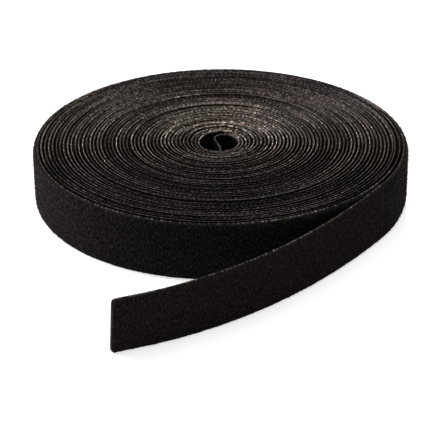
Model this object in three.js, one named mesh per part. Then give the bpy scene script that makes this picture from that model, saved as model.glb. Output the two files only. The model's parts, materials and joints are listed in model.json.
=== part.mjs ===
// Roll of double-sided hook and loop tape, wound on itself round an open eye, with its free end peeled off.
// Millimetres, +Z up. The tape stands on edge, so its width is the height of the roll.
// Hooks face the middle of the roll and loops face out, so every turn grips the next one.
import * as THREE from "three";

const FULL_TURN = 2 * Math.PI;
const radians = THREE.MathUtils.degToRad;

// Tape
const TAPE_WIDTH = 20;
const TAPE_THICKNESS = 0.8; // woven ground of both plies, bonded back to back
const PILE_HEIGHT = 1.4; // loops that stand free on the outside
const HOOK_HEIGHT = 0.6; // hooks that stand free on the inside
const SELVEDGE = 1.0; // bare strip along each edge, with no loops or hooks
const ROOT_CLEARANCE = 0.1; // between the ground and the layer that stands on it

// Winding
const TURN_GAP = 0.477; // loops and hooks pressed together between two turns
const EYE_RADIUS = 6.48; // middle of the tape where the winding starts
const INNER_TURNS = 22;
const OUTER_TURNS = 22; // and the part of a turn up to the peel line
const INNER_TURN_STEPS = 22;
const OUTER_TURN_STEPS = 28;
const LEAST_STEP = 0.03; // share of a step below which a facet joins the next one
const START_ANGLE = radians(90); // at the back, running clockwise seen from above
const JOIN_GAP = 0.3; // where two lengths of the tape meet end to end

// Start of the tape, folded into the eye
const FOLD_RADIUS = 1.9;
const FOLD_TURN = radians(101.5);
const FOLD_STEPS = 7;
const FOLD_END_GAP = 0.5; // from the end of the tape to the wall of the eye

// Free tail
const PEEL_ANGLE = radians(-33.8); // where the tail leaves the roll
const PEEL_SWING = radians(80); // how far it swings away from the roll
const TAIL_LENGTH = 113.1;
const TAIL_ROOT_BEND = 310; // radius of the tail's curve where it leaves the roll
const TAIL_TIP_BEND = 118.3; // and where its flat pull tab begins
const TAIL_TIP_LEAN = radians(8.5); // the top edge leans away from the roll
const PULL_TAB = 9.4;
const TAIL_STEPS = 14;
const NOSE_STEPS = 3; // in a quarter of the round end at the peel line
const HINGE_GAP = 0.3;
const FACE_GAP = 0.5; // between the tail's hooks and the roll's loops where they part

// Values that follow from the sizes above
const PITCH = TAPE_THICKNESS + TURN_GAP;
const HALF_TAPE = TAPE_THICKNESS / 2;
const INNER_SWEEP = INNER_TURNS * FULL_TURN;
const PEEL_SWEEP = (INNER_TURNS + OUTER_TURNS) * FULL_TURN + START_ANGLE - PEEL_ANGLE;
const ROLL_RADIUS = EYE_RADIUS + (PITCH * PEEL_SWEEP) / FULL_TURN;
const LOOP_FACE = HALF_TAPE + ROOT_CLEARANCE + PILE_HEIGHT;
const HOOK_FACE = HALF_TAPE + ROOT_CLEARANCE + HOOK_HEIGHT;
const PILE_END_ROOM = LOOP_FACE * Math.tan(PEEL_SWING / 2) + HINGE_GAP;
const PARTING_GAP = LOOP_FACE + HOOK_FACE + FACE_GAP - PITCH;
const PARTING_LENGTH = Math.sqrt((2 * PARTING_GAP) / (1 / ROLL_RADIUS - 1 / TAIL_ROOT_BEND));
const TAIL_CURVED = TAIL_LENGTH - PULL_TAB;

// Layers of the tape, as distances out from its middle and up from its lower edge
const GROUND = { inside: -HALF_TAPE, outside: HALF_TAPE, low: 0, high: TAPE_WIDTH };
const LOOPS = {
  inside: HALF_TAPE + ROOT_CLEARANCE,
  outside: LOOP_FACE,
  low: SELVEDGE,
  high: TAPE_WIDTH - SELVEDGE,
};
const HOOKS = {
  inside: -HOOK_FACE,
  outside: -HALF_TAPE - ROOT_CLEARANCE,
  low: SELVEDGE,
  high: TAPE_WIDTH - SELVEDGE,
};

// A station is one cross-section of the tape: its place in plan, the way the tape runs there, how far it
// leans out, and the share of the full thickness that it has. Its outside is on the left of the run.
function station(x, y, heading, lean = 0, fullness = 1) {
  return { x, y, heading, lean, fullness };
}

// A point of a cross-section. A leaning tape still stands on its lower edge.
function tapePoint(at, out, up) {
  const outward = at.heading + Math.PI / 2;
  const thick = out * at.fullness;
  const reach = thick * Math.cos(at.lean) + up * Math.sin(at.lean);
  const lift = HALF_TAPE * Math.sin(at.lean);
  const height = lift + up * Math.cos(at.lean) - thick * Math.sin(at.lean);
  return new THREE.Vector3(at.x + reach * Math.cos(outward), at.y + reach * Math.sin(outward), height);
}

// A closed strip of one layer of the tape, with a four-sided section at each station.
function stripGeometry(stations, layer) {
  const corners = [
    [layer.inside, layer.low],
    [layer.outside, layer.low],
    [layer.outside, layer.high],
    [layer.inside, layer.high],
  ];
  const sides = corners.length;
  const points = stations.flatMap((at) => corners.map(([out, up]) => tapePoint(at, out, up)));
  const last = points.length - sides;
  const faces = [0, 2, 1, 0, 3, 2, last, last + 1, last + 2, last, last + 2, last + 3];
  for (let ring = 0; ring < last; ring += sides) {
    for (let side = 0; side < sides; side += 1) {
      const next = (side + 1) % sides;
      faces.push(ring + side, ring + next, ring + sides + next);
      faces.push(ring + side, ring + sides + next, ring + sides + side);
    }
  }
  const geometry = new THREE.BufferGeometry().setFromPoints(points);
  geometry.setIndex(faces);
  geometry.computeVertexNormals();
  return geometry;
}

// The wound tape: a spiral that gains one pitch in each turn, by the angle swept from its start.
function windingAt(sweep) {
  const radius = EYE_RADIUS + (PITCH * sweep) / FULL_TURN;
  const angle = START_ANGLE - sweep;
  return station(radius * Math.cos(angle), radius * Math.sin(angle), angle - Math.PI / 2);
}

// Stations from one sweep to another, with those between at the same angles in every turn, so facets nest.
function windingStations(from, to, turnSteps) {
  const step = FULL_TURN / turnSteps;
  const stations = [windingAt(from)];
  for (let index = Math.ceil(from / step + LEAST_STEP); index * step < to - LEAST_STEP * step; index += 1) {
    stations.push(windingAt(index * step));
  }
  stations.push(windingAt(to));
  return stations;
}

// Least distance from the corners of one turn to the facing side of the turn before or after it.
function leastTurnGap(stations, turnSteps) {
  const outer = stations.map((at) => tapePoint(at, HALF_TAPE, 0));
  const inner = stations.map((at) => tapePoint(at, -HALF_TAPE, 0));
  const nearest = new THREE.Vector3();
  let least = Infinity;
  const compare = (point, line, index) => {
    for (let near = Math.max(index - 2, 0); near < Math.min(index + 2, line.length - 1); near += 1) {
      new THREE.Line3(line[near], line[near + 1]).closestPointToPoint(point, true, nearest);
      least = Math.min(least, nearest.distanceTo(point));
    }
  };
  for (let index = 0; index + turnSteps < stations.length; index += 1) {
    compare(outer[index], inner, index + turnSteps);
    compare(inner[index + turnSteps], outer, index);
  }
  return least;
}

// The start of the tape: a tight fold off the first turn, then a straight flap across the eye.
function startFoldStations() {
  const stations = [station(-JOIN_GAP, EYE_RADIUS, Math.PI)];
  for (let index = 1; index <= FOLD_STEPS; index += 1) {
    const turned = (FOLD_TURN * index) / FOLD_STEPS;
    const x = -JOIN_GAP - FOLD_RADIUS * Math.sin(turned);
    const y = EYE_RADIUS - FOLD_RADIUS * (1 - Math.cos(turned));
    stations.push(station(x, y, Math.PI + turned));
  }
  const bend = stations[FOLD_STEPS];
  const run = new THREE.Vector2(Math.cos(bend.heading), Math.sin(bend.heading));
  const root = new THREE.Vector2(bend.x, bend.y);
  const wall = (EYE_RADIUS + PITCH / 2 - HALF_TAPE) * Math.cos(Math.PI / INNER_TURN_STEPS);
  const end = wall - HALF_TAPE - FOLD_END_GAP;
  const along = root.dot(run);
  const length = Math.sqrt(along * along + end * end - root.lengthSq()) - along;
  stations.push(station(bend.x + length * run.x, bend.y + length * run.y, bend.heading));
  return stations;
}

// The free tail, by the distance from the peel line: its curve tightens up to a flat pull tab.
function tailHeading(distance) {
  const bent = Math.min(distance, TAIL_CURVED);
  const tightening = (1 / TAIL_TIP_BEND - 1 / TAIL_ROOT_BEND) / TAIL_CURVED;
  return PEEL_ANGLE - Math.PI / 2 - bent / TAIL_ROOT_BEND - (tightening * bent * bent) / 2;
}

function tailAt(distance, fullness = 1) {
  const slices = 64;
  const slice = distance / slices;
  const root = windingAt(PEEL_SWEEP);
  const place = new THREE.Vector2(root.x, root.y);
  for (let index = 0; index < slices; index += 1) {
    const heading = tailHeading((index + 0.5) * slice);
    place.x += slice * Math.cos(heading);
    place.y += slice * Math.sin(heading);
  }
  const lean = (TAIL_TIP_LEAN * THREE.MathUtils.clamp(distance, 0, TAIL_CURVED)) / TAIL_CURVED;
  return station(place.x, place.y, tailHeading(distance), lean, fullness);
}

function tailStations(from) {
  const step = TAIL_CURVED / TAIL_STEPS;
  const stations = [tailAt(from)];
  for (let index = Math.ceil(from / step + LEAST_STEP); index <= TAIL_STEPS; index += 1) {
    stations.push(tailAt(index * step));
  }
  stations.push(tailAt(TAIL_LENGTH));
  return stations;
}

// The tail's root is rounded about the peel line, so that it can swing there.
function tailRootStations() {
  const stations = [];
  for (let index = 1; index < NOSE_STEPS; index += 1) {
    const angle = ((Math.PI / 2) * index) / NOSE_STEPS;
    stations.push(tailAt(-HALF_TAPE * Math.cos(angle), Math.sin(angle)));
  }
  return stations;
}

function tapeMaterial(colour, roughness) {
  return new THREE.MeshStandardMaterial({ color: colour, roughness, metalness: 0 });
}

function tapeMesh(name, stations, layer, material) {
  const mesh = new THREE.Mesh(stripGeometry(stations, layer), material);
  mesh.name = name;
  return mesh;
}

const wovenGround = tapeMaterial(0x2a2624, 0.8);
const loopPile = tapeMaterial(0x1b191b, 1.0);
const hookField = tapeMaterial(0x211d1b, 0.6);

const outerStart = INNER_SWEEP + JOIN_GAP / (EYE_RADIUS + PITCH * INNER_TURNS);
const outerEnd = PEEL_SWEEP - (HALF_TAPE + HINGE_GAP) / ROLL_RADIUS;
const pileStart = PEEL_SWEEP - FULL_TURN + PARTING_LENGTH / ROLL_RADIUS;
const pileEnd = PEEL_SWEEP - PILE_END_ROOM / ROLL_RADIUS;
const innerTurns = windingStations(0, INNER_SWEEP, INNER_TURN_STEPS);
const outerTurns = windingStations(outerStart, outerEnd, OUTER_TURN_STEPS);
const lastTurn = windingStations(pileStart, pileEnd, OUTER_TURN_STEPS);

console.log(`least gap in turns_inner: ${leastTurnGap(innerTurns, INNER_TURN_STEPS).toFixed(3)} mm`);
console.log(`least gap in turns_outer: ${leastTurnGap(outerTurns, OUTER_TURN_STEPS).toFixed(3)} mm`);

const tapeRoll = new THREE.Group();
tapeRoll.add(
  tapeMesh("start_fold", startFoldStations(), GROUND, wovenGround),
  tapeMesh("turns_inner", innerTurns, GROUND, wovenGround.clone()),
  tapeMesh("turns_outer", outerTurns, GROUND, wovenGround.clone()),
  tapeMesh("roll_loop_pile", lastTurn, LOOPS, loopPile),
  tapeMesh("tail_tape", [...tailRootStations(), ...tailStations(0)], GROUND, wovenGround.clone()),
  tapeMesh("tail_loop_pile", tailStations(PILE_END_ROOM), LOOPS, loopPile.clone()),
  tapeMesh("tail_hook_field", tailStations(PARTING_LENGTH), HOOKS, hookField),
);

// The origin is the middle of the footprint, on the surface that the roll lies on.
const footprint = new THREE.Box3().setFromObject(tapeRoll, true).getCenter(new THREE.Vector3());
tapeRoll.position.set(-footprint.x, -footprint.y, 0);

export default tapeRoll;
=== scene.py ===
import json
import math
from collections import namedtuple

import bpy
import numpy as np
from mathutils import Matrix, Vector


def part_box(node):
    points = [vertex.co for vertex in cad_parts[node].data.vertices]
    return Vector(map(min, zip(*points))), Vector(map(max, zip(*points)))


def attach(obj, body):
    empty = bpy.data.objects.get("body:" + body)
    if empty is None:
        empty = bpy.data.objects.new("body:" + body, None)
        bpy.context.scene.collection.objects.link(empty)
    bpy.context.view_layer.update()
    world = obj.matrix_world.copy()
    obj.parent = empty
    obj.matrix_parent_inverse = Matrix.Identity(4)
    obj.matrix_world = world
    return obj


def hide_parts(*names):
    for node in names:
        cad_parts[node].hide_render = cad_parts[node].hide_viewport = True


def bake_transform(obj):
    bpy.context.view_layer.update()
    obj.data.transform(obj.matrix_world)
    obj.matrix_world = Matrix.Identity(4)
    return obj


# Looks of a roll of black double-sided hook and loop tape. The wound tape is one spiral strip with a beaded
# selvedge on both edges. Crushed loops and hooks fill the gaps between its turns, free loops stand on the
# outside of the roll and of the tail, and hooks on the tail's inside.

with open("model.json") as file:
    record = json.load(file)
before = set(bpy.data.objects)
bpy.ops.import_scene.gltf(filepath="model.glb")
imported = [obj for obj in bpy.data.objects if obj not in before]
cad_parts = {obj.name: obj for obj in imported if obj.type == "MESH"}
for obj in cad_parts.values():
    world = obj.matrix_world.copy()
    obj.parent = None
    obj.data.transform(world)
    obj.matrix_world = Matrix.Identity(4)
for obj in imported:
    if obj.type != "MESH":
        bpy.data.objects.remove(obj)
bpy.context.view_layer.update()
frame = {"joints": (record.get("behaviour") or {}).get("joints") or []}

MM = 0.001
FULL_TURN = 2 * math.pi
QUARTER_TURN = FULL_TURN / 4

# Seeds of all that varies by chance
LIFT_SEED = 7
SHIFT_SEED = 8
BEAD_SEED = 9
JITTER_SEED = 10
PRESSED_SEED = 11
ROLL_PILE_SEED = 12
TAIL_PILE_SEED = 13
HOOK_SEED = 15
WEAR_SEED = 16

# Tape, with the sizes of the solids
ground_low, ground_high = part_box("turns_outer")
TAPE_WIDTH = ground_high[2] - ground_low[2]
TAPE_THICKNESS = 0.8 * MM
HALF_TAPE = TAPE_THICKNESS / 2
PILE_HEIGHT = 1.4 * MM
HOOK_HEIGHT = 0.6 * MM
SELVEDGE = 1.0 * MM

# Winding, clockwise from the back of the eye to the line where the tail peels off
TURN_GAP = 0.477 * MM
PITCH = TAPE_THICKNESS + TURN_GAP
EYE_RADIUS = 6.48 * MM
TURNS = 44
INNER_TURNS = 22
MIDDLE_TURNS = 34
START_ANGLE = math.radians(90)
PEEL_ANGLE = math.radians(-33.8)
PEEL_SWEEP = TURNS * FULL_TURN + START_ANGLE - PEEL_ANGLE
LAST_TURN = PEEL_SWEEP / FULL_TURN - 1
ROLL_RADIUS = EYE_RADIUS + PITCH * PEEL_SWEEP / FULL_TURN

# Start of the tape, folded into the eye: an arc, then a flap that eases back near its end
FOLD_RADIUS = 3.55 * MM
FOLD_TURN = math.radians(146)
FLAP_LENGTH = 9.65 * MM
FOLD_LENGTH = FOLD_RADIUS * FOLD_TURN + FLAP_LENGTH
FLAP_EASE = math.radians(24)
FLAP_EASE_LENGTH = 4.2 * MM

# Free tail: a bend that tightens from one radius to another, then a straight pull tab
TAIL_LENGTH = 113.1 * MM
TAIL_ROOT_BEND = 310 * MM
TAIL_TIP_BEND = 118.3 * MM
TAIL_TIP_LEAN = math.radians(8.5)
PULL_TAB = 9.4 * MM
TAIL_CURVED = TAIL_LENGTH - PULL_TAB
TIP_CORNER = 1.2 * MM

# Stretches from the peel line: the one that bends when the tail is peeled, and the one too close for hooks
TAIL_BLEND = 26 * MM
PARTING_LENGTH = 18.8 * MM

# Places from the frame
peel_joint = next(joint for joint in frame["joints"] if joint["name"] == "tail_peel")
PEEL = np.array(peel_joint["pos_m"][:2])
ROLL_AXIS = PEEL - ROLL_RADIUS * np.array([math.cos(PEEL_ANGLE), math.sin(PEEL_ANGLE)])

# Beads of the selvedge, with a valley between each and the next
BEAD_LENGTH = 1.53 * MM
BEAD_STEPS = 4
SIDE_STEP = BEAD_LENGTH / BEAD_STEPS
VALLEY_DEPTH = 0.28 * MM
TAIL_VALLEY_DEPTH = 0.17 * MM
VALLEY_WIDTH = 0.7
CREST_HALF = 0.19 * MM
SHOULDER_DEPTH = 0.75 * MM
BEAD_HEIGHTS = (0.5, 1.5)
BEAD_WIDTHS = (0.8, 1.15)
BEAD_JITTER = 0.12 * MM

# A stretch of tape: its middle in plan, outward side, lean and lift, and the distance along the tape
Path = namedtuple("Path", "middle outward lean lift along")

# Steps of the beads: the distance along the tape, how full the selvedge is there, and the bead's number
Beads = namedtuple("Beads", "along full number")


def ease(value):
    """A smooth step from 0 to 1."""
    share = np.clip(value, 0, 1)
    return share * share * (3 - 2 * share)


def swell(at, middle, spread):
    """1 at the middle, falling away to 0 on both sides of it."""
    return np.exp(-(((at - middle) / spread) ** 2))


def smooth_noise(at, spacing, seed):
    """Seeded noise from -1 to 1 along a line, with a new value at each spacing."""
    knots = np.random.default_rng(seed).uniform(-1, 1, int(np.max(at) / spacing) + 3)
    cell = np.floor(at / spacing).astype(int)
    share = ease(at / spacing - cell)
    return knots[cell] * (1 - share) + knots[cell + 1] * share


def facing(angle):
    """Unit arrows in plan, one for each angle."""
    return np.stack([np.cos(angle), np.sin(angle)], 1)


# Paths along the winding, the fold and the tail


def wound_length(sweep):
    return EYE_RADIUS * sweep + PITCH * sweep**2 / (2 * FULL_TURN)


def sweep_at(along):
    """The other way round from wound_length."""
    gain = PITCH / (2 * FULL_TURN)
    return (np.sqrt(EYE_RADIUS**2 + 4 * gain * along) - EYE_RADIUS) / (2 * gain)


WOUND_LENGTH = wound_length(PEEL_SWEEP)
LAST_TURN_START = wound_length(PEEL_SWEEP - FULL_TURN)

# The winding begins at a valley of the beads, where the folded start meets it
FOLD_STEPS = 3 * BEAD_STEPS
FOLD_SWEEP = sweep_at(FOLD_STEPS * SIDE_STEP)

# Small slips of all turns, up and to the side, and how soon they change
LIFT_DRIFT = 0.16 * MM
LIFT_SPACING = FULL_TURN / 5
SHIFT_DRIFT = 0.1 * MM
SHIFT_SPACING = FULL_TURN / 4

# Turns that stand proud: the turn's number, and how far it rises
PROUD_TURNS = ((4.0, 0.55 * MM), (6.0, 0.3 * MM), (18.9, 0.5 * MM), (26.0, 0.28 * MM), (31.5, 0.42 * MM))
PROUD_SPREAD = 0.28

# Turns that are drawn in, which leaves a wider gap outside them: the turn's number, and how far it moves
SLACK_TURNS = ((18.92, -0.28 * MM), (42.3, -0.38 * MM))
SLACK_SPREAD = 0.14

# The innermost turns have sagged to an oval: how far towards the front, how far in at the sides, and over
# how many turns
EYE_SAG = 2.0 * MM
EYE_PINCH = 1.35 * MM
EYE_TURNS = 8


def steady_ends(sweep):
    """1 over most of the winding, falling to 0 towards its start and the tail."""
    return ease(sweep / QUARTER_TURN) * ease((PEEL_SWEEP - sweep) / QUARTER_TURN)


def axial_drift(sweep):
    """How far each part of the winding has slipped up out of the flat."""
    drift = LIFT_DRIFT * (1 + smooth_noise(sweep, LIFT_SPACING, LIFT_SEED))
    for turn, rise in PROUD_TURNS:
        drift = drift + rise * swell(sweep / FULL_TURN, turn, PROUD_SPREAD)
    return drift * steady_ends(sweep)


def eye_sag(sweep):
    """How far outwards the turns round the eye lie off the spiral."""
    front = -np.sin(START_ANGLE - sweep)
    shift = EYE_SAG * (1 + front) / 2 - EYE_PINCH * (1 - front**2)
    return shift * (1 - ease(sweep / (EYE_TURNS * FULL_TURN)))


def radial_drift(sweep):
    """How far outwards each part of the winding lies off the spiral."""
    drift = SHIFT_DRIFT * smooth_noise(sweep, SHIFT_SPACING, SHIFT_SEED)
    for turn, shift in SLACK_TURNS:
        drift = drift + shift * swell(sweep / FULL_TURN, turn, SLACK_SPREAD)
    return drift * steady_ends(sweep) + eye_sag(sweep)


def winding_path(along):
    sweep = sweep_at(along)
    radius = EYE_RADIUS + PITCH * sweep / FULL_TURN + radial_drift(sweep)
    outward = facing(START_ANGLE - sweep)
    middle = ROLL_AXIS + radius[:, None] * outward
    return Path(middle, outward, np.zeros(len(along)), axial_drift(sweep), along)


# Fine points that a line in plan is summed over
PLAN_POINTS = 600


def plan_line(heading_at, start, length, wanted):
    """Points in plan along a line, given its heading at each distance from its start."""
    fine = np.linspace(0, length, PLAN_POINTS)
    heading = heading_at((fine[1:] + fine[:-1]) / 2)
    steps = np.diff(fine)[:, None] * facing(heading)
    line = start + np.concatenate([np.zeros((1, 2)), np.cumsum(steps, 0)])
    return np.stack([np.interp(wanted, fine, line[:, axis]) for axis in (0, 1)], 1)


def fold_heading(distance):
    bend = np.minimum(distance / FOLD_RADIUS, FOLD_TURN)
    back = FLAP_EASE * ease((distance - FOLD_LENGTH) / FLAP_EASE_LENGTH + 1)
    return START_ANGLE - FOLD_SWEEP + QUARTER_TURN + bend - back


def fold_path(distance):
    """The folded start, by the distance from the start of the winding back to the end of the tape."""
    root = winding_path(np.array([wound_length(FOLD_SWEEP)])).middle
    middle = plan_line(fold_heading, root, FOLD_LENGTH, distance)
    none = np.zeros(len(distance))
    return Path(middle, facing(fold_heading(distance) - QUARTER_TURN), none, none, distance)


def tail_heading(distance):
    bent = np.minimum(distance, TAIL_CURVED)
    tightening = (1 / TAIL_TIP_BEND - 1 / TAIL_ROOT_BEND) / TAIL_CURVED
    return PEEL_ANGLE - QUARTER_TURN - bent / TAIL_ROOT_BEND - tightening * bent**2 / 2


def tail_path(distance):
    """The free tail, by the distance from the peel line."""
    middle = plan_line(tail_heading, PEEL, TAIL_LENGTH, distance)
    outward = facing(tail_heading(distance) + QUARTER_TURN)
    lean = TAIL_TIP_LEAN * np.minimum(distance, TAIL_CURVED) / TAIL_CURVED
    return Path(middle, outward, lean, HALF_TAPE * np.sin(lean), WOUND_LENGTH + distance)


def tip_trim(distance):
    """How far the edges of the tail draw in at its cut end, where the corners are worn round."""
    past = np.clip(distance - (TAIL_LENGTH - TIP_CORNER), 0, TIP_CORNER)
    return TIP_CORNER - np.sqrt(TIP_CORNER**2 - past**2)


def tape_points(path, out, up):
    """Points out from the tape's middle and up from its lower edge, one row for each station."""
    lean = path.lean[:, None]
    reach = out * np.cos(lean) + up * np.sin(lean)
    flat = path.middle[:, None, :] + reach[:, :, None] * path.outward[:, None, :]
    height = path.lift[:, None] + up * np.cos(lean) - out * np.sin(lean)
    return np.concatenate([flat, height[:, :, None]], 2)


# Meshes


def add_layer(mesh, name, pairs):
    """A UV map with a pair of values for each point."""
    corners = np.zeros(len(mesh.loops), np.int32)
    mesh.loops.foreach_get("vertex_index", corners)
    layer = mesh.uv_layers.new(name=name)
    layer.uv.foreach_set("vector", pairs[corners].astype(np.float32).ravel())


def add_mesh(name, points, faces, tape_place, smooth=None):
    """A mesh object whose UV map holds each point's place on the tape, along and across, in metres."""
    mesh = bpy.data.meshes.new(name)
    mesh.from_pydata(points.tolist(), [], faces)
    add_layer(mesh, "tape", tape_place)
    rounded = np.ones(len(mesh.polygons), bool) if smooth is None else smooth
    mesh.polygons.foreach_set("use_smooth", rounded)
    piece = bpy.data.objects.new(name, mesh)
    bpy.context.scene.collection.objects.link(piece)
    return piece


def ring_faces(rings, sides):
    """Quads of a closed strip that joins rings of points, and a face over each end."""
    start = np.arange(rings - 1)[:, None] * sides
    side = np.arange(sides)[None, :]
    ahead = (side + 1) % sides
    quads = np.stack([start + side, start + ahead, start + sides + ahead, start + sides + side], 2)
    first = list(range(sides))[::-1]
    last = [(rings - 1) * sides + index for index in range(sides)]
    return quads.reshape(-1, 4).tolist() + [first, last]


def strip(name, path, out, up, flat=(), second=()):
    """A closed strip with one section at each station of a path.

    The sides of the section listed in flat are shaded flat, and those in second take a second material.
    """
    rings, sides = len(path.along), out.shape[1]
    points = tape_points(path, out, up).reshape(-1, 3)
    place = np.stack(np.broadcast_arrays(path.along[:, None], up), 2).reshape(-1, 2)
    smooth = np.tile([side not in flat for side in range(sides)], rings - 1)
    dark = np.tile([side in second for side in range(sides)], rings - 1)
    smooth = np.concatenate([smooth, [False, False]])
    dark = np.concatenate([dark, [bool(second), bool(second)]])
    piece = add_mesh(name, points, ring_faces(rings, sides), place, smooth)
    piece.data.polygons.foreach_set("material_index", dark.astype(np.int32))
    return piece


# Past this share of upright, a strand's rings are laid out from another axis
NEARLY_UPRIGHT = 0.9


def strands(name, lines, radius, sides, tape_place):
    """Thin closed tubes along many lines, given as one array by strand, point and axis."""
    count, rings = lines.shape[:2]
    run = np.gradient(lines, axis=1)
    run /= np.linalg.norm(run, axis=2, keepdims=True)
    other = np.where(np.abs(run[:, :, 2:3]) < NEARLY_UPRIGHT, [0.0, 0.0, 1.0], [1.0, 0.0, 0.0])
    across = np.cross(run, other)
    across /= np.linalg.norm(across, axis=2, keepdims=True)
    third = np.cross(run, across)
    turn = FULL_TURN * np.arange(sides) / sides
    ring = across[:, :, None] * np.cos(turn)[:, None] + third[:, :, None] * np.sin(turn)[:, None]
    points = (lines[:, :, None] + radius * ring).reshape(-1, 3)
    one = ring_faces(rings, sides)
    step = rings * sides
    faces = [[index + strand * step for index in face] for strand in range(count) for face in one]
    return add_mesh(name, points, faces, np.repeat(tape_place, step, 0))


# Ground of the tape

# Wear of the edges: how soon it changes, its middle and swing, and how much of a valley it takes away
WEAR_LENGTH = 17 * MM
WEAR_MIDDLE = 0.45
WEAR_SWING = 0.75
WEAR_FLATTENS = 0.75

# The left of the last turn, where the edge is held fresh: unworn threads, with painted shade on the side
# the left lamp lights
SHADED_FRESH_SWEEP = PEEL_SWEEP - FULL_TURN + math.radians(120)
SHADED_FRESH_SPREAD = math.radians(55)

# The first turn, whose edge is worn all round the eye, and the stretch over which that ends
EYE_WEAR_END = FULL_TURN / 8

# Sides of the tape's section: hooks face in and loops face out
LOWER_HOOK_SIDE, LOWER_CREST, LOOP_FACE = 0, 1, 3
UPPER_LOOP_SIDE, UPPER_CREST, UPPER_HOOK_SIDE, HOOK_FACE = 4, 5, 6, 7
WOUND_BARE = (LOWER_HOOK_SIDE, LOWER_CREST, UPPER_CREST, UPPER_HOOK_SIDE)
FREE_BARE = (LOWER_HOOK_SIDE, LOWER_CREST, UPPER_LOOP_SIDE, UPPER_CREST, UPPER_HOOK_SIDE)


def bead_stations(start, end):
    """Steps of the beads from one distance along the tape to another; each bead begins with a valley."""
    full = np.sqrt(0.5 - 0.5 * np.cos(FULL_TURN * np.arange(BEAD_STEPS) / BEAD_STEPS))
    index = np.arange(round(start / SIDE_STEP), round(end / SIDE_STEP) + 1)
    return Beads(index * SIDE_STEP, full[index % BEAD_STEPS], index // BEAD_STEPS)


def edge_wear(along):
    """How worn the edges are along the tape: 0 for fresh threads, and 1 for flat and shiny ones."""
    sweep = sweep_at(along)
    worn = ease(WEAR_MIDDLE + WEAR_SWING * smooth_noise(along, WEAR_LENGTH, WEAR_SEED))
    # The left of the last turn is held fresh, which gives its edge painted shade there as well as unworn
    # threads
    fresh = swell(sweep, SHADED_FRESH_SWEEP, SHADED_FRESH_SPREAD)
    round_eye = 1 - ease((sweep - FULL_TURN) / EYE_WEAR_END)
    return np.maximum(worn * (1 - fresh), round_eye)


def woven_strip(name, path, beads, worn, depth, bare, trim=0.0):
    """The ground of the tape, with beads along both edges, each a little different from the next.

    The sides of the section listed in bare show woven threads, and matted yarn hides the others.
    """
    rng = np.random.default_rng(BEAD_SEED)
    count = beads.number.max() + 1
    tall = rng.uniform(*BEAD_HEIGHTS, count)[beads.number]
    wide = rng.uniform(*BEAD_WIDTHS, count)[beads.number]
    drop = depth * (1 - beads.full * tall).clip(0) * (1 - WEAR_FLATTENS * worn) + trim
    crest = CREST_HALF * (VALLEY_WIDTH + (1 - VALLEY_WIDTH) * beads.full) * wide
    body = np.full(len(worn), HALF_TAPE)
    shoulder = np.full(len(worn), SHOULDER_DEPTH) + trim
    out = np.stack([-body, -crest, crest, body, body, crest, -crest, -body], 1)
    low = np.stack([shoulder, drop, drop, shoulder], 1)
    up = np.concatenate([low, TAPE_WIDTH - low], 1)
    sides = out.shape[1]
    matted = [side for side in range(sides) if side not in bare]
    piece = strip(name, path, out, up, flat=(LOOP_FACE, HOOK_FACE), second=matted)
    point_wear = np.repeat(worn, sides)
    add_layer(piece.data, "wear", np.stack([point_wear, point_wear], 1))
    return piece


def wound_tape(name, first_turn, last_turn, bare=WOUND_BARE):
    start = max(first_turn * FULL_TURN, FOLD_SWEEP)
    end = min(last_turn * FULL_TURN, PEEL_SWEEP)
    beads = bead_stations(wound_length(start), wound_length(end))
    along = beads.along
    jitter = BEAD_JITTER * smooth_noise(along, 2 * BEAD_LENGTH, JITTER_SEED) * steady_ends(sweep_at(along))
    path = winding_path(along + jitter)._replace(along=along)
    piece = woven_strip(name, path, beads, edge_wear(along), VALLEY_DEPTH, bare)
    return piece


def tail_tape():
    beads = bead_stations(WOUND_LENGTH, WOUND_LENGTH + TAIL_LENGTH)
    distance = beads.along - WOUND_LENGTH
    path = tail_path(distance)
    worn = edge_wear(beads.along)
    trim = tip_trim(distance)
    piece = woven_strip("tail_ground", path, beads, worn, TAIL_VALLEY_DEPTH, FREE_BARE, trim)
    return piece


def start_flap():
    """The folded start of the tape, with fresh edges."""
    beads = bead_stations(0, FOLD_LENGTH)
    along = beads.along
    fresh = np.zeros(len(along))
    piece = woven_strip("start_flap", fold_path(along), beads, fresh, VALLEY_DEPTH, WOUND_BARE)
    return piece


# Pile

# Crushed pile: the steps along it, and how far below the edges of the tape it ends, more or less
PRESSED_STEP = 1.0 * MM
PRESSED_DROP = 0.9 * MM
PRESSED_ROUGH = 0.28 * MM

# Free pile: how far from the edges of the tape it ends, and how its height falls away towards them
PILE_MARGIN = 0.33 * MM
PILE_HALF = TAPE_WIDTH / 2 - PILE_MARGIN
CROWN_POWER = 16
CROWN_LEAST = 0.25

# Its matted foot: the steps along and across, the height, and how far down the roughness goes
PILE_STEP = 0.66 * MM
PILE_COLUMNS = 24
BED_HEIGHT = 1.22 * MM
BED_ROUGH = (0.65, 1)
BED_ENDS = 0.85

# Its loops: one in each cell, most across the tape, with their spans, heights and sideways tilt
LOOP_CELL_ROLL = 1.02 * MM
LOOP_CELL_TAIL = 0.76 * MM
LOOP_RADIUS = 0.075 * MM
LOOP_SIDES = 3
LOOP_POINTS = 5
LOOP_END_MARGIN = 1.0 * MM
LOOPS_ACROSS = 0.7
LOOP_TWIST = 0.45
LOOP_SPANS = (0.7 * MM, 1.3 * MM)
LOOP_HEIGHTS = (0.82, 1.02)
LOOP_TILT = 0.3 * MM
LOOP_ROUNDNESS = 0.7

# The share of the room under the tail that the pressed loops take
PRESSED_SHARE = 0.9


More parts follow.
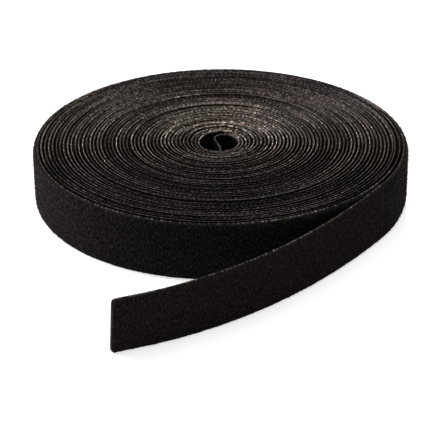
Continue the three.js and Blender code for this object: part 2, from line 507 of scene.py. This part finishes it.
def pressed_pile(name, first_turn, last_turn):
    """Loops and hooks crushed together between one turn and the next, below the selvedges."""
    start = wound_length(max(first_turn * FULL_TURN, FOLD_SWEEP))
    end = wound_length(min(last_turn * FULL_TURN, PEEL_SWEEP - FULL_TURN))
    along = np.linspace(start, end, round((end - start) / PRESSED_STEP))
    sweep = sweep_at(along)
    near = np.full(len(along), HALF_TAPE)
    far = near + TURN_GAP + radial_drift(sweep + FULL_TURN) - radial_drift(sweep)
    out = np.stack([near, far, far, near], 1)
    rng = np.random.default_rng(PRESSED_SEED)
    drop = PRESSED_DROP + rng.uniform(-PRESSED_ROUGH, PRESSED_ROUGH, out.shape)
    up = np.where([True, True, False, False], drop, TAPE_WIDTH - drop)
    return strip(name, winding_path(along), out, up)


def scattered(length, width, cell, rng):
    """Places on a strip, one at random in each cell of a grid, along and across from its middle."""
    rows, columns = int(length / cell), int(width / cell)
    along = (np.arange(rows)[:, None] + rng.uniform(0, 1, (rows, columns))) * length / rows
    across = (np.arange(columns)[None, :] + rng.uniform(0, 1, (rows, columns))) * width / columns
    return along.ravel(), across.ravel() - width / 2


def pile_crown(share):
    """How high the loops stand across the tape, from -1 to 1: full in the middle and half at the edges."""
    return np.sqrt(np.clip(1 - np.abs(share) ** CROWN_POWER, CROWN_LEAST, 1))


def loop_lines(path_at, along, across, height, rng):
    """Small arches that stand on the outside of the tape, most of them across it."""
    count = len(along)
    goes_across = rng.uniform(0, 1, count) < LOOPS_ACROSS
    turn_across = rng.normal(QUARTER_TURN, LOOP_TWIST, count)
    any_turn = rng.uniform(0, math.pi, count)
    turn = np.where(goes_across, turn_across, any_turn)[:, None]
    span = rng.uniform(*LOOP_SPANS, count)[:, None]
    tall = height * rng.uniform(*LOOP_HEIGHTS, count) * pile_crown(across / PILE_HALF)
    tilt = rng.normal(0, LOOP_TILT, count)[:, None]
    share = np.linspace(0, 1, LOOP_POINTS)[None, :]
    arch = np.sin(math.pi * share) ** LOOP_ROUNDNESS
    reach = span * (share - 0.5)
    side = np.cos(turn) * reach - np.sin(turn) * tilt * arch
    up = np.sin(turn) * reach + np.cos(turn) * tilt * arch
    out = HALF_TAPE + tall[:, None] * arch
    high = np.clip(across[:, None] + up, -PILE_HALF, PILE_HALF) + TAPE_WIDTH / 2
    spots = path_at((along[:, None] + side).ravel())
    return tape_points(spots, out.reshape(-1, 1), high.reshape(-1, 1)).reshape(count, -1, 3)


def pile_bed(name, path, height, rng, trim=0.0):
    """The matted foot of the loops: a low rough layer on the outside of the tape, thin at its edges."""
    count = len(path.along)
    across = np.linspace(-1, 1, PILE_COLUMNS)
    rough = rng.uniform(*BED_ROUGH, (count, PILE_COLUMNS))
    rough[[0, -1]] = BED_ENDS
    top = HALF_TAPE + height[:, None] * pile_crown(across) * rough
    back = np.full((count, 2), HALF_TAPE)
    half = np.full(count, PILE_HALF) - trim
    high = TAPE_WIDTH / 2 + half[:, None] * across
    out = np.concatenate([top, back], 1)
    up = np.concatenate([high, high[:, [-1, 0]]], 1)
    return strip(name, path, out, up)


def standing(along):
    """How upright the loops of the last turn stand: less where the tail still lies close to them."""
    parting = (1 / ROLL_RADIUS - 1 / TAIL_ROOT_BEND) / 2
    room = TURN_GAP + parting * (along - LAST_TURN_START) ** 2
    return np.minimum(1, PRESSED_SHARE * room / PILE_HEIGHT)


def roll_pile():
    """The matted foot and the loops on the outside of the last turn."""
    rng = np.random.default_rng(ROLL_PILE_SEED)
    length = WOUND_LENGTH - LAST_TURN_START
    rows = np.linspace(LAST_TURN_START, WOUND_LENGTH, round(length / PILE_STEP))
    bed = pile_bed("roll_pile_bed", winding_path(rows), BED_HEIGHT * standing(rows), rng)
    along, across = scattered(length, 2 * PILE_HALF, LOOP_CELL_ROLL, rng)
    along = LAST_TURN_START + np.clip(along, LOOP_END_MARGIN, length - LOOP_END_MARGIN)
    lines = loop_lines(winding_path, along, across, PILE_HEIGHT * standing(along), rng)
    places = np.stack([along, across], 1)
    return bed, strands("roll_pile_loops", lines, LOOP_RADIUS, LOOP_SIDES, places)


def tail_pile():
    """The matted foot and the loops on the outside of the tail."""
    rng = np.random.default_rng(TAIL_PILE_SEED)
    rows = np.linspace(0, TAIL_LENGTH, round(TAIL_LENGTH / PILE_STEP))
    height = np.full(len(rows), BED_HEIGHT)
    bed = pile_bed("tail_pile_bed", tail_path(rows), height, rng, tip_trim(rows))
    along, across = scattered(TAIL_LENGTH, 2 * PILE_HALF, LOOP_CELL_TAIL, rng)
    along = np.clip(along, LOOP_END_MARGIN, TAIL_LENGTH - LOOP_END_MARGIN)
    lines = loop_lines(tail_path, along, across, PILE_HEIGHT, rng)
    places = np.stack([WOUND_LENGTH + along, across], 1)
    return bed, strands("tail_pile_loops", lines, LOOP_RADIUS, LOOP_SIDES, places)


# Hooks: their rows and columns and how far they stray from them, the wire, and the curl at its end
HOOK_ROW = 1.3 * MM
HOOK_COLUMN = 1.15 * MM
HOOK_STRAY_ALONG = 0.08 * MM
HOOK_STRAY_ACROSS = 0.06 * MM
HOOK_WIRE = 0.09 * MM
HOOK_SIDES = 4
HOOK_CROOK = 0.19 * MM
HOOK_CURL = np.radians([0, 60, 120, 180, 235])


def tail_hooks():
    """Rows of hooks on the inside of the tail, each a wire that rises and curls over along the tape."""
    rng = np.random.default_rng(HOOK_SEED)
    rows = np.arange(PARTING_LENGTH, TAIL_LENGTH - HOOK_ROW / 2, HOOK_ROW)
    columns = np.arange(SELVEDGE + HOOK_COLUMN / 2, TAPE_WIDTH - SELVEDGE, HOOK_COLUMN)
    along, up = (grid.ravel() for grid in np.meshgrid(rows, columns, indexing="ij"))
    along = along + rng.normal(0, HOOK_STRAY_ALONG, len(along))
    up = up + rng.normal(0, HOOK_STRAY_ACROSS, len(up))
    way = np.where((up / HOOK_COLUMN).astype(int) % 2 == 0, 1, -1)
    stem = HOOK_HEIGHT - HOOK_CROOK
    forward = np.concatenate([[0], HOOK_CROOK * (1 - np.cos(HOOK_CURL))])
    rise = np.concatenate([[0], stem + HOOK_CROOK * np.sin(HOOK_CURL)])
    spots = tail_path((along[:, None] + way[:, None] * forward[None, :]).ravel())
    out = np.tile(-HALF_TAPE - rise, len(along))
    high = np.repeat(up, len(rise))
    lines = tape_points(spots, out[:, None], high[:, None]).reshape(len(along), -1, 3)
    return strands("tail_hooks", lines, HOOK_WIRE, HOOK_SIDES, np.stack([WOUND_LENGTH + along, up], 1))


# Parts of materials


def new_material(name):
    material = bpy.data.materials.new(name)
    material.use_nodes = True
    nodes = material.node_tree.nodes
    return material, nodes, material.node_tree.links, nodes["Principled BSDF"]


def set_finish(shader, roughness, specular):
    shader.inputs["Roughness"].default_value = roughness
    shader.inputs["Specular IOR Level"].default_value = specular


def layer_pair(nodes, name):
    """The pair of values that the mesh holds in a UV map."""
    place = nodes.new("ShaderNodeUVMap")
    place.uv_map = name
    return place.outputs["UV"]


def layer_value(nodes, links, name, which):
    """One value of such a pair, X or Y."""
    parts = nodes.new("ShaderNodeSeparateXYZ")
    links.new(layer_pair(nodes, name), parts.inputs["Vector"])
    return parts.outputs[which]


def tape_noise(nodes, links, size, detail=2.0, stretch=1.0):
    """Noise over the tape's own surface, with features of a given size, drawn out across the tape."""
    mapping = nodes.new("ShaderNodeMapping")
    mapping.inputs["Scale"].default_value = (1 / size, 1 / (size * stretch), 1 / size)
    links.new(layer_pair(nodes, "tape"), mapping.inputs["Vector"])
    noise = nodes.new("ShaderNodeTexNoise")
    noise.inputs["Scale"].default_value = 1.0
    noise.inputs["Detail"].default_value = detail
    links.new(mapping.outputs["Vector"], noise.inputs["Vector"])
    return noise.outputs["Fac"]


# Blender's wave texture repeats this many times over a full turn of its scaled place
WAVES = 20


def thread_wave(nodes, links, direction, length):
    """A wave of a given length along the tape, X, or across it, Y."""
    wave = nodes.new("ShaderNodeTexWave")
    wave.bands_direction = direction
    wave.inputs["Scale"].default_value = FULL_TURN / (WAVES * length)
    links.new(layer_pair(nodes, "tape"), wave.inputs["Vector"])
    return wave.outputs["Fac"]


def grey(level):
    return (level, level, level)


def colour_ramp(nodes, links, factor, dark, light, low=0.0, high=1.0):
    ramp = nodes.new("ShaderNodeValToRGB")
    ramp.color_ramp.elements[0].position = low
    ramp.color_ramp.elements[1].position = high
    ramp.color_ramp.elements[0].color = (*dark, 1)
    ramp.color_ramp.elements[1].color = (*light, 1)
    links.new(factor, ramp.inputs["Fac"])
    return ramp.outputs["Color"]


def mixed(nodes, links, blend, first, second):
    mix = nodes.new("ShaderNodeMix")
    mix.data_type = "RGBA"
    mix.blend_type = blend
    mix.inputs["Factor"].default_value = 1.0
    links.new(first, mix.inputs["A"])
    links.new(second, mix.inputs["B"])
    return mix.outputs["Result"]


def multiplied(nodes, links, first, *others):
    """The product of several colours."""
    product = first
    for other in others:
        product = mixed(nodes, links, "MULTIPLY", product, other)
    return product


def scaled(nodes, links, level, at_none, at_full):
    """A value for each level from 0 to 1."""
    scale = nodes.new("ShaderNodeMapRange")
    scale.inputs["To Min"].default_value = at_none
    scale.inputs["To Max"].default_value = at_full
    links.new(level, scale.inputs["Value"])
    return scale.outputs["Result"]


def add_bump(nodes, links, shader, height, strength, distance):
    bump = nodes.new("ShaderNodeBump")
    bump.inputs["Strength"].default_value = strength
    bump.inputs["Distance"].default_value = distance
    links.new(height, bump.inputs["Height"])
    links.new(bump.outputs["Normal"], shader.inputs["Normal"])


# Materials

# Painted shade between the turns, below the edges: the depths at which it begins and hides the threads, and
# its level
PAINTED_SHADE_TOP = 0.12 * MM
PAINTED_SHADE_FULL = 0.46 * MM
PAINTED_SHADE_LEVEL = 0.07

# Edges, fresh and worn: the painted shade between their beads, and their finish
VALLEY_SHADE = 0.3
WORN_VALLEY_SHADE = 0.62
FRESH_ROUGHNESS = 0.66
WORN_ROUGHNESS = 0.24
EDGE_SPECULAR = 0.06

# What the shaders draw: patches of lighter nylon, fibres in a thread, flecks in the yarn, and threads
PATCH = 2.0 * MM
FIBRE = 0.2 * MM
FIBRE_RELIEF = 0.08 * MM
FLECK = 0.36 * MM
THREAD = 0.5 * MM
THREAD_RELIEF = 0.1 * MM
THREAD_SHADE = 0.35

YARN_SHEEN_TINT = (0.86, 0.84, 1.0, 1)


def painted_bead_shade(nodes, links, wear):
    """Painted shade: dark between two beads of the selvedge and full on each bead, and more even where they
    are worn.
    """
    wave = thread_wave(nodes, links, "X", BEAD_LENGTH)
    fresh = colour_ramp(nodes, links, wave, grey(VALLEY_SHADE), grey(1), low=0.1, high=0.75)
    worn = colour_ramp(nodes, links, wear, grey(0), grey(WORN_VALLEY_SHADE), low=0.2)
    return mixed(nodes, links, "LIGHTEN", fresh, worn)


def painted_gap_shade(nodes, links):
    """Painted shade: full along both edges of the tape and dark below them, in the gaps between the turns.
    """
    centred = nodes.new("ShaderNodeMath")
    centred.operation = "SUBTRACT"
    centred.inputs[1].default_value = TAPE_WIDTH / 2
    links.new(layer_value(nodes, links, "tape", "Y"), centred.inputs[0])
    reach = nodes.new("ShaderNodeMath")
    reach.operation = "ABSOLUTE"
    links.new(centred.outputs["Value"], reach.inputs[0])
    level = nodes.new("ShaderNodeMapRange")
    level.inputs["From Min"].default_value = TAPE_WIDTH / 2 - PAINTED_SHADE_FULL
    level.inputs["From Max"].default_value = TAPE_WIDTH / 2 - PAINTED_SHADE_TOP
    links.new(reach.outputs["Value"], level.inputs["Value"])
    return colour_ramp(nodes, links, level.outputs["Result"], grey(PAINTED_SHADE_LEVEL), grey(1))


def woven_material(name, dark, light, fresh_shade):
    """Nylon threads of the ground: dull black that shines where the threads turn over the edge, through the
    roughness and through a painted highlight in the light colour.
    """
    material, nodes, links, shader = new_material(name)
    patches = tape_noise(nodes, links, PATCH, detail=3.0)
    threads = colour_ramp(nodes, links, patches, dark, light, low=0.43, high=0.76)
    wear = layer_value(nodes, links, "wear", "X")
    worn = colour_ramp(nodes, links, wear, grey(fresh_shade), grey(1))
    # Painted shade between the beads and between the turns, over the threads' colour and their wear
    shades = (worn, painted_bead_shade(nodes, links, wear), painted_gap_shade(nodes, links))
    links.new(multiplied(nodes, links, threads, *shades), shader.inputs["Base Color"])
    shader.inputs["Specular IOR Level"].default_value = EDGE_SPECULAR
    links.new(scaled(nodes, links, wear, FRESH_ROUGHNESS, WORN_ROUGHNESS), shader.inputs["Roughness"])
    fibres = tape_noise(nodes, links, FIBRE, detail=1.0, stretch=3.0)
    add_bump(nodes, links, shader, fibres, strength=0.35, distance=FIBRE_RELIEF)
    return material


def pile_material(name, dark, light, specular, sheen):
    """Loop yarn: nearly black with lighter flecks, and with a soft sheen at grazing angles."""
    material, nodes, links, shader = new_material(name)
    flecks = tape_noise(nodes, links, FLECK, stretch=3.2)
    colour = colour_ramp(nodes, links, flecks, dark, light, low=0.46, high=0.7)
    links.new(colour, shader.inputs["Base Color"])
    set_finish(shader, roughness=0.9, specular=specular)
    shader.inputs["Sheen Weight"].default_value = sheen
    shader.inputs["Sheen Roughness"].default_value = 0.35
    shader.inputs["Sheen Tint"].default_value = YARN_SHEEN_TINT
    return material


def thread_shade(nodes, links, direction):
    wave = thread_wave(nodes, links, direction, THREAD)
    return colour_ramp(nodes, links, wave, grey(THREAD_SHADE), grey(1), high=0.6)


def backing_material():
    """The bare weave between the hooks: threads along the tape and across it."""
    material, nodes, links, shader = new_material("woven_backing")
    patches = tape_noise(nodes, links, PATCH)
    dark, light = (0.010, 0.0085, 0.0078), (0.022, 0.0185, 0.017)
    colour = colour_ramp(nodes, links, patches, dark, light, low=0.3, high=0.7)
    weave = multiplied(nodes, links, thread_shade(nodes, links, "Y"), thread_shade(nodes, links, "X"))
    links.new(multiplied(nodes, links, colour, weave), shader.inputs["Base Color"])
    set_finish(shader, roughness=0.7, specular=0.04)
    add_bump(nodes, links, shader, weave, strength=0.5, distance=THREAD_RELIEF)
    return material


def hook_material():
    """Bare nylon wire of the hooks."""
    material, nodes, links, shader = new_material("hook_nylon")
    patches = tape_noise(nodes, links, PATCH)
    dark, light = (0.026, 0.0225, 0.02), (0.065, 0.056, 0.05)
    colour = colour_ramp(nodes, links, patches, dark, light, low=0.3, high=0.7)
    links.new(colour, shader.inputs["Base Color"])
    set_finish(shader, roughness=0.36, specular=0.2)
    return material


# Stage

FLOOR_HALF = 4.0
FLOOR_LIFT = 0.66
AMBIENT = 0.3

WHITE = (1, 1, 1)
PAPER = grey(0.9)

# Lamps: two behind the roll, with grids, for the shine behind its eye, one at its left and one above it
SHINE_SPOT = (4 * MM, 14 * MM)
BACK_COLOUR = (1.0, 0.82, 0.68)
SPOT_COLOUR = (1.0, 0.86, 0.72)
LEFT_COLOUR = (0.95, 0.87, 1.0)

# Camera, as fitted to the rim, the turns and the eye
VIEW_DISTANCE = 10.1056 * ROLL_RADIUS
VIEW_DROP = 0.149 * ROLL_RADIUS
VIEW_ELEVATION = math.radians(25.62)
VIEW_PITCH = math.radians(27.32)
VIEW_ROLL = math.radians(-0.30)
FOCAL_PIXELS = 1845
PICTURE_PIXELS = 440
SENSOR = 36.0


def add_camera():
    lens = bpy.data.cameras.new("camera")
    lens.sensor_width = SENSOR
    lens.lens = FOCAL_PIXELS * SENSOR / PICTURE_PIXELS
    camera = bpy.data.objects.new("camera", lens)
    back = VIEW_DISTANCE * math.cos(VIEW_ELEVATION)
    height = TAPE_WIDTH - VIEW_DROP + VIEW_DISTANCE * math.sin(VIEW_ELEVATION)
    place = Matrix.Translation((ROLL_AXIS[0], ROLL_AXIS[1] - back, height))
    tilt = Matrix.Rotation(QUARTER_TURN - VIEW_PITCH, 4, "X")
    camera.matrix_world = place @ tilt @ Matrix.Rotation(VIEW_ROLL, 4, "Z")
    bpy.context.scene.collection.objects.link(camera)
    bpy.context.scene.camera = camera


def seen_plainly(nodes, links):
    """1 for what is seen, straight on or in a reflection, and 0 for light on its way to a surface."""
    rays = nodes.new("ShaderNodeLightPath")
    seen = rays.outputs["Is Camera Ray"]
    for ray in ("Is Glossy Ray", "Is Transmission Ray"):
        either = nodes.new("ShaderNodeMath")
        either.operation = "MAXIMUM"
        links.new(seen, either.inputs[0])
        links.new(rays.outputs[ray], either.inputs[1])
        seen = either.outputs["Value"]
    return seen


def add_world():
    """White where the background is seen straight on or in a reflection, and dimmer as a light."""
    world = bpy.data.worlds.new("studio")
    bpy.context.scene.world = world
    world.use_nodes = True
    nodes, links = world.node_tree.nodes, world.node_tree.links
    background = nodes["Background"]
    background.inputs["Color"].default_value = (*WHITE, 1)
    strength = scaled(nodes, links, seen_plainly(nodes, links), AMBIENT, 1.0)
    links.new(strength, background.inputs["Strength"])


def add_floor():
    """White paper, lifted to white for the camera where the studio light leaves it pale grey."""
    points = FLOOR_HALF * np.array([[-1, -1, 0], [1, -1, 0], [1, 1, 0], [-1, 1, 0]])
    floor = add_mesh("floor", points, [[0, 1, 2, 3]], points[:, :2])
    material, nodes, links, shader = new_material("white_paper")
    shader.inputs["Base Color"].default_value = (*PAPER, 1)
    set_finish(shader, roughness=1.0, specular=0.0)
    shader.inputs["Emission Color"].default_value = (*WHITE, 1)
    lift = scaled(nodes, links, seen_plainly(nodes, links), 0.0, FLOOR_LIFT)
    links.new(lift, shader.inputs["Emission Strength"])
    floor.data.materials.append(material)


def add_lamp(name, place, target, size, power, colour, spread=180):
    """A soft lamp; a smaller spread in degrees stands for a grid in front of it."""
    light = bpy.data.lights.new(name, "AREA")
    light.spread = math.radians(spread)
    light.shape = "RECTANGLE"
    light.size, light.size_y = size
    light.energy = power
    light.color = colour
    lamp = bpy.data.objects.new(name, light)
    lamp.location = place
    lamp.rotation_euler = (Vector(target) - Vector(place)).to_track_quat("-Z", "Y").to_euler()
    bpy.context.scene.collection.objects.link(lamp)


def add_lamps():
    top = (*ROLL_AXIS, TAPE_WIDTH)
    shine = (*(ROLL_AXIS + SHINE_SPOT), TAPE_WIDTH)
    add_lamp("back_strip", place=(0.03, 0.40, 0.26), target=shine, size=(0.15, 0.02), power=0.016,
             colour=BACK_COLOUR, spread=6)
    add_lamp("eye_spot", place=(0.005, 0.40, 0.194), target=shine, size=(0.04, 0.004), power=0.004,
             colour=SPOT_COLOUR, spread=3)
    add_lamp("left_softbox", place=(-0.88, 0.34, 0.26), target=top, size=(0.4, 0.5), power=12,
             colour=LEFT_COLOUR)
    add_lamp("top_softbox", place=(0.0, 0.0, 1.3), target=top, size=(0.9, 0.9), power=4, colour=WHITE)


# The object


def dress(piece, materials, nodes):
    """Materials of a piece, and the nodes of the solids that it takes the place of."""
    for material in materials:
        piece.data.materials.append(material)
    if nodes:
        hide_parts(*nodes)


def ride_on_roll(piece, materials, slot, *nodes):
    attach(piece, "roll")
    dress(piece, materials, nodes)


def bend_with_tail(piece, materials, slot, *nodes):
    """The tail's pieces, with their placing baked into their points; the real tape bends over the tail's
    first stretch.
    """
    line = tail_path(np.array([0.0, TAIL_BLEND])).middle
    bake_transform(piece)
    dress(piece, materials, nodes)


add_camera()
add_world()
add_floor()
add_lamps()

# Copies of one nylon whose light colours are a painted highlight on the edge threads, each painted to its
# own level for its part
wound_edge = woven_material(
    "woven_nylon", dark=(0.016, 0.0119, 0.0098), light=(0.325, 0.26, 0.222), fresh_shade=0.4)
tail_edge = woven_material(
    "selvedge_nylon", dark=(0.03, 0.024, 0.021), light=(0.5, 0.42, 0.37), fresh_shade=0.62)
flap_edge = woven_material(
    "flap_nylon", dark=(0.016, 0.0119, 0.0098), light=(0.24, 0.205, 0.185), fresh_shade=0.6)
# The last turn's edge carries the brightest painted highlight, and painted shade at its left, where it is
# held fresh
rim_edge = woven_material(
    "rim_nylon", dark=(0.03, 0.024, 0.021), light=(0.8, 0.672, 0.593), fresh_shade=0.22)
roll_yarn = pile_material(
    "loop_yarn", dark=(0.006, 0.0048, 0.0049), light=(0.0455, 0.0362, 0.0366),
    specular=0.02, sheen=0.025)
tail_yarn = pile_material(
    "tail_loop_yarn", dark=(0.0105, 0.0083, 0.0074), light=(0.05, 0.0393, 0.0357),
    specular=0.02, sheen=0.02)
crushed_yarn = pile_material(
    "crushed_yarn", dark=(0.0035, 0.0028, 0.0025), light=(0.013, 0.0104, 0.0094),
    specular=0.0, sheen=0.0)

wound = (wound_edge, crushed_yarn)
inner_turns = wound_tape("wound_tape_inner", 0, INNER_TURNS)
ride_on_roll(inner_turns, wound, "woven_ground", "turns_inner")
middle_turns = wound_tape("wound_tape_middle", INNER_TURNS, MIDDLE_TURNS)
ride_on_roll(middle_turns, wound, "woven_ground", "turns_outer")
outer_turns = wound_tape("wound_tape_outer", MIDDLE_TURNS, LAST_TURN)
ride_on_roll(outer_turns, wound, "woven_ground", "turns_outer")
last_turn = wound_tape("wound_tape_last", LAST_TURN, LAST_TURN + 1, FREE_BARE)
ride_on_roll(last_turn, (rim_edge, crushed_yarn), "woven_ground", "turns_outer")
ride_on_roll(pressed_pile("pressed_pile_inner", 0, INNER_TURNS), (crushed_yarn,), "loop_pile")
ride_on_roll(pressed_pile("pressed_pile_outer", INNER_TURNS, TURNS + 1), (crushed_yarn,), "loop_pile")
ride_on_roll(start_flap(), (flap_edge, crushed_yarn), "woven_ground", "start_fold")
for piece in roll_pile():
    ride_on_roll(piece, (roll_yarn,), "loop_pile", "roll_loop_pile")
bend_with_tail(tail_tape(), (tail_edge, backing_material()), "woven_ground", "tail_tape")
for piece in tail_pile():
    bend_with_tail(piece, (tail_yarn,), "loop_pile", "tail_loop_pile")
bend_with_tail(tail_hooks(), (hook_material(),), "hook_field", "tail_hook_field")

bpy.context.scene.view_settings.view_transform = "Standard"
